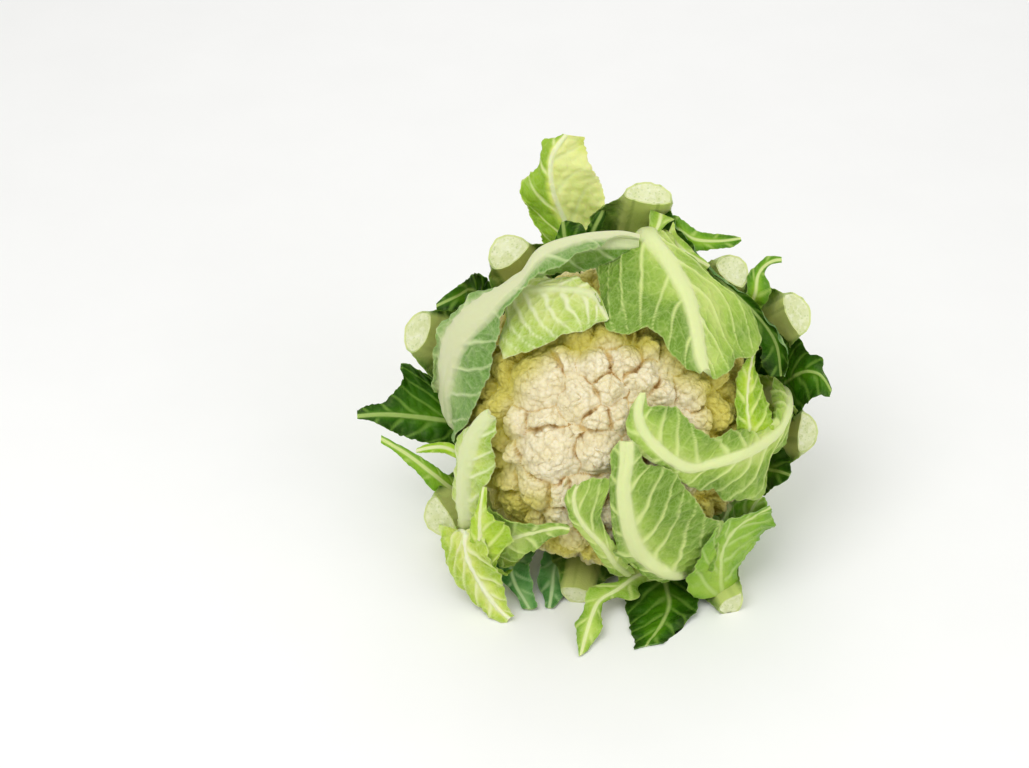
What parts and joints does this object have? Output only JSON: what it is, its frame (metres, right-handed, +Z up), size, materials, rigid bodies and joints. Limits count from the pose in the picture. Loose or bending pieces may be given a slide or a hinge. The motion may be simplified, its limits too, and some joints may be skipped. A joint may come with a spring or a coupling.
{
  "type": "cauliflower head with leaves",
  "caption": "Whole cauliflower head as trimmed for sale, with wrapper leaves folded over the curd and cut leaf stalks round it, lying on its side.",
  "frame": {"origin": "centre of the head's footprint, on the surface it lies on", "axes": "+Z up, -Y to the front, where the curd looks out and upward, +X to the right seen from the front"},
  "size_m": [0.2354, 0.2056, 0.1726],
  "materials": {
    "curd": "matt, finely beaded cream curd",
    "stem": "smooth pale green stem, dry where cut",
    "stalk": "smooth waxy leaf stalk with a pale cut face",
    "leaf_pale": "waxy pale inner leaf with raised pale veins",
    "leaf_lime": "waxy lime leaf",
    "leaf_green": "waxy mid green leaf",
    "leaf_dark": "waxy dark green outer leaf with pale veins"
  },
  "bodies": {
    "root": {"curd": "curd", "stem": "stem", "stalk_top": "stalk", "stalk_upper_right": "stalk", "stalk_right": "stalk", "stalk_right_low": "stalk", "stalk_bottom_right": "stalk", "stalk_bottom": "stalk", "stalk_left_low": "stalk", "stalk_left": "stalk", "stalk_upper_left": "stalk", "leaf_left_arching": "leaf_pale", "leaf_top_left_inner": "leaf_pale", "leaf_upper_right_big": "leaf_pale", "leaf_right_cross": "leaf_pale", "leaf_lower_big": "leaf_pale", "leaf_lower_small_pale": "leaf_pale", "leaf_left_lower_pale": "leaf_pale", "leaf_bottom_ragged_pale": "leaf_pale", "leaf_upper_curl_left": "leaf_pale", "leaf_upper_curl_right": "leaf_pale", "leaf_bottom_small_pale": "leaf_pale", "leaf_right_lime": "leaf_lime", "leaf_lower_right_bright": "leaf_lime", "leaf_left_lower_ragged": "leaf_lime", "leaf_left_yellow_green": "leaf_lime", "leaf_back_upright": "leaf_lime", "leaf_left_lime_strip": "leaf_lime", "leaf_upper_right_tongue": "leaf_green", "leaf_right_small_tongue": "leaf_green", "leaf_left_narrow_white_rib": "leaf_green", "leaf_lower_right_dark": "leaf_green", "leaf_bottom_left_dark": "leaf_dark", "leaf_back_small_dark": "leaf_dark", "leaf_back_thin_twist": "leaf_dark", "leaf_upper_left_dark": "leaf_dark", "leaf_upper_right_dark_long": "leaf_dark", "leaf_bottom_left_dark_fold": "leaf_dark", "leaf_right_dark_pointed": "leaf_dark", "leaf_right_dark_low": "leaf_dark", "leaf_left_dark_veined": "leaf_dark", "leaf_bottom_dark": "leaf_dark"}
  },
  "joints": []
}
